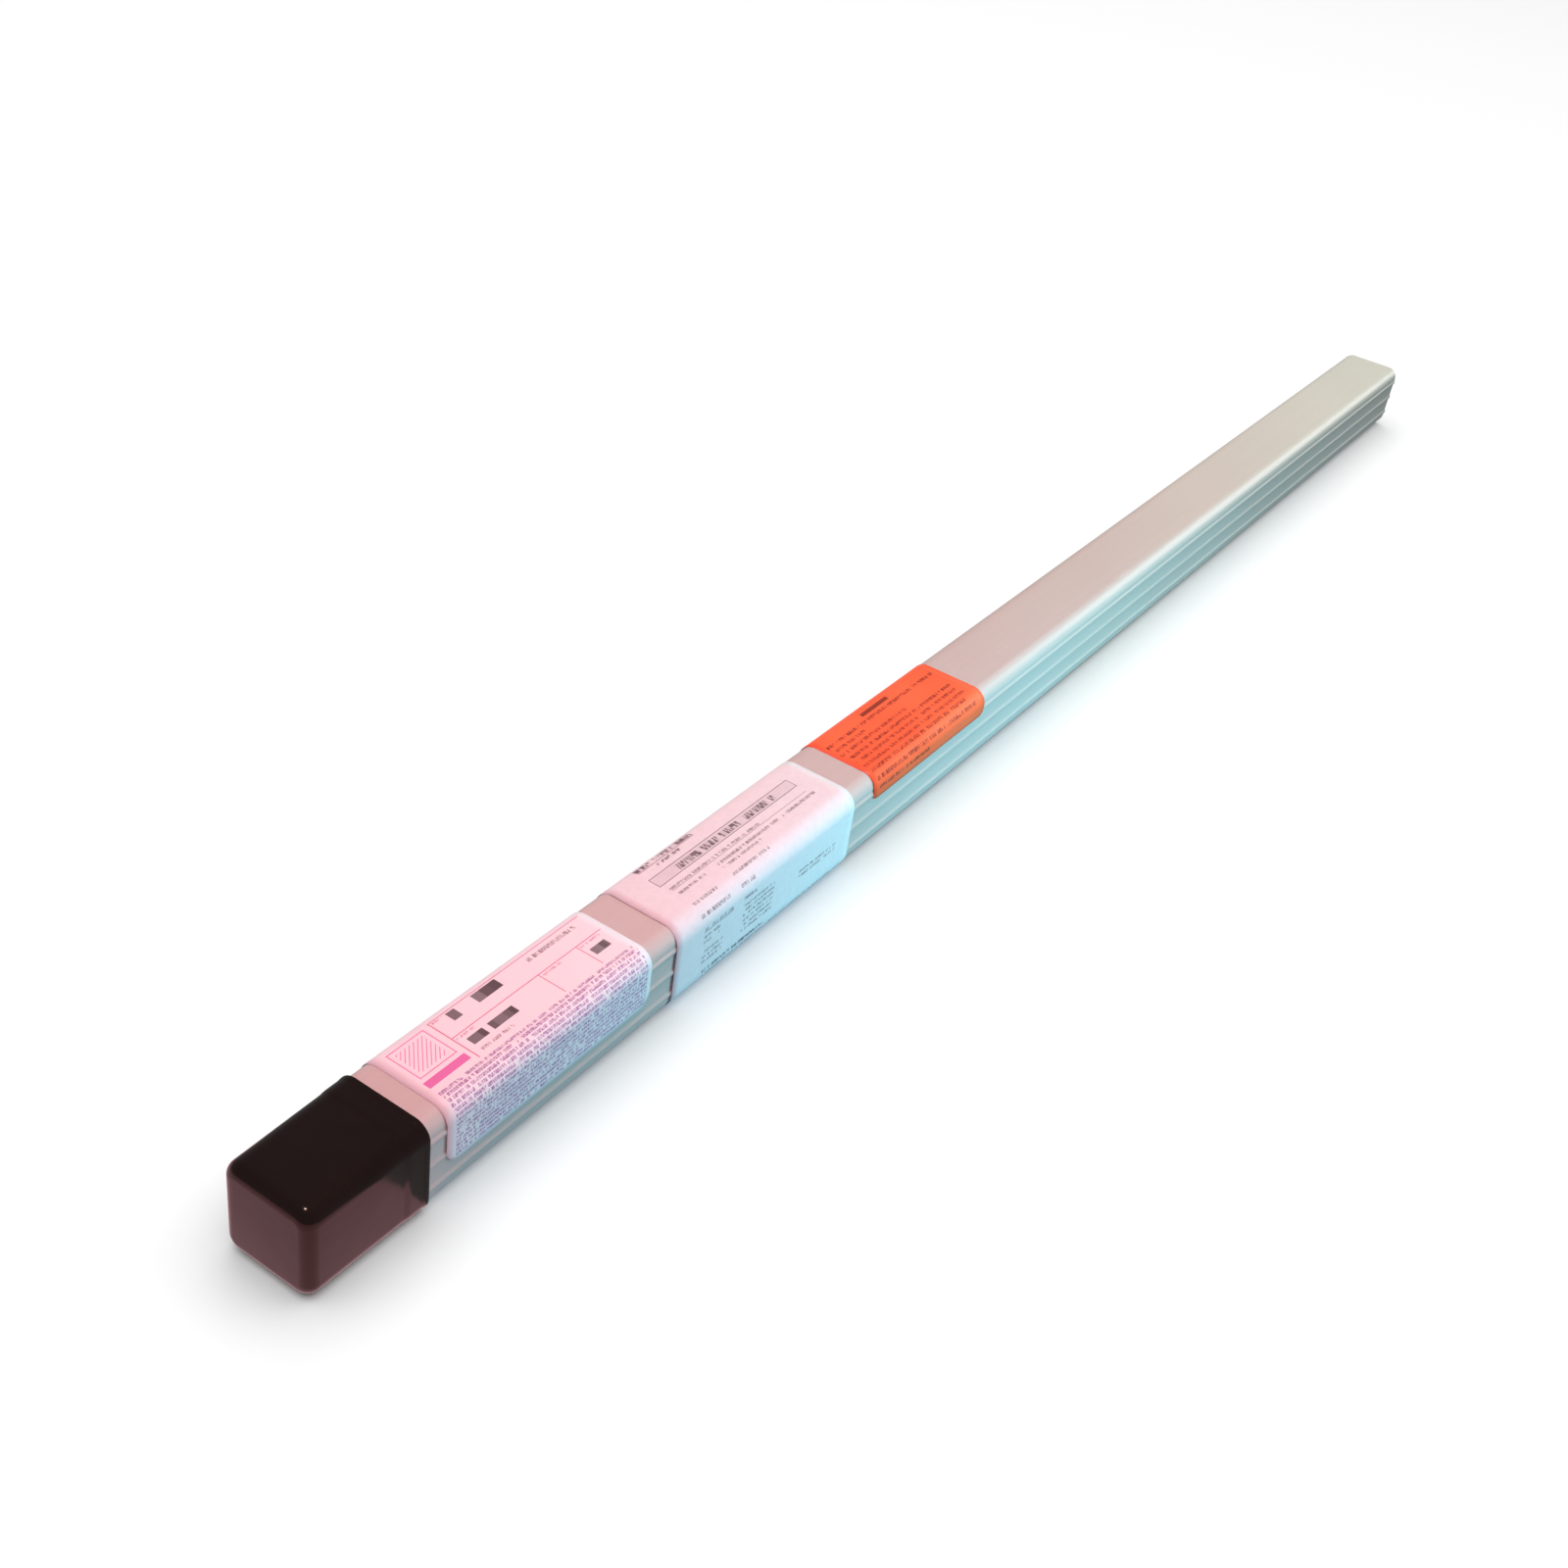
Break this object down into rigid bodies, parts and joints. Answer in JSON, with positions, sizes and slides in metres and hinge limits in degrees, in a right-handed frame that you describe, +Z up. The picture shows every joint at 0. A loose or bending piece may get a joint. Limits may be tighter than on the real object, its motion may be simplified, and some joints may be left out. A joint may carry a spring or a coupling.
{
  "type": "filler rod tube pack",
  "caption": "Square ribbed plastic storage tube of loose straight welding filler rods, with a push-on black vinyl cap, a finned end plug, a paper sheet and stuck-on labels.",
  "frame": {"origin": "middle of the pack's length and width, at the level of the cap's underside", "axes": "+X along the tube from the cap to the plug, +Y across, +Z up"},
  "size_m": [0.9384, 0.0378, 0.0377],
  "materials": {
    "tube_plastic": "semi-gloss extruded plastic, pale grey",
    "cap_vinyl": "glossy black soft vinyl",
    "plug_plastic": "plain moulded plastic",
    "label_film": "satin printed label film, pale pink white",
    "sheet_paper": "plain white paper, printed",
    "sticker_film": "satin orange label film",
    "rod_steel": "bright drawn steel"
  },
  "bodies": {
    "pack": {"tube": "tube_plastic", "end_plug": "plug_plastic", "product_label": "label_film", "data_sheet": "sheet_paper", "orange_sticker": "sticker_film", "rod_01": "rod_steel", "rod_02": "rod_steel", "rod_03": "rod_steel", "rod_04": "rod_steel", "rod_05": "rod_steel", "rod_06": "rod_steel", "rod_07": "rod_steel", "rod_08": "rod_steel", "rod_09": "rod_steel", "rod_10": "rod_steel", "rod_11": "rod_steel", "rod_12": "rod_steel", "rod_13": "rod_steel", "rod_14": "rod_steel"},
    "cap": {"end_cap": "cap_vinyl"}
  },
  "joints": [
    {"name": "cap_pull", "type": "slide", "parent": "pack", "child": "cap", "axis": [-1, 0, 0], "range_m": [0, 0.09]}
  ]
}
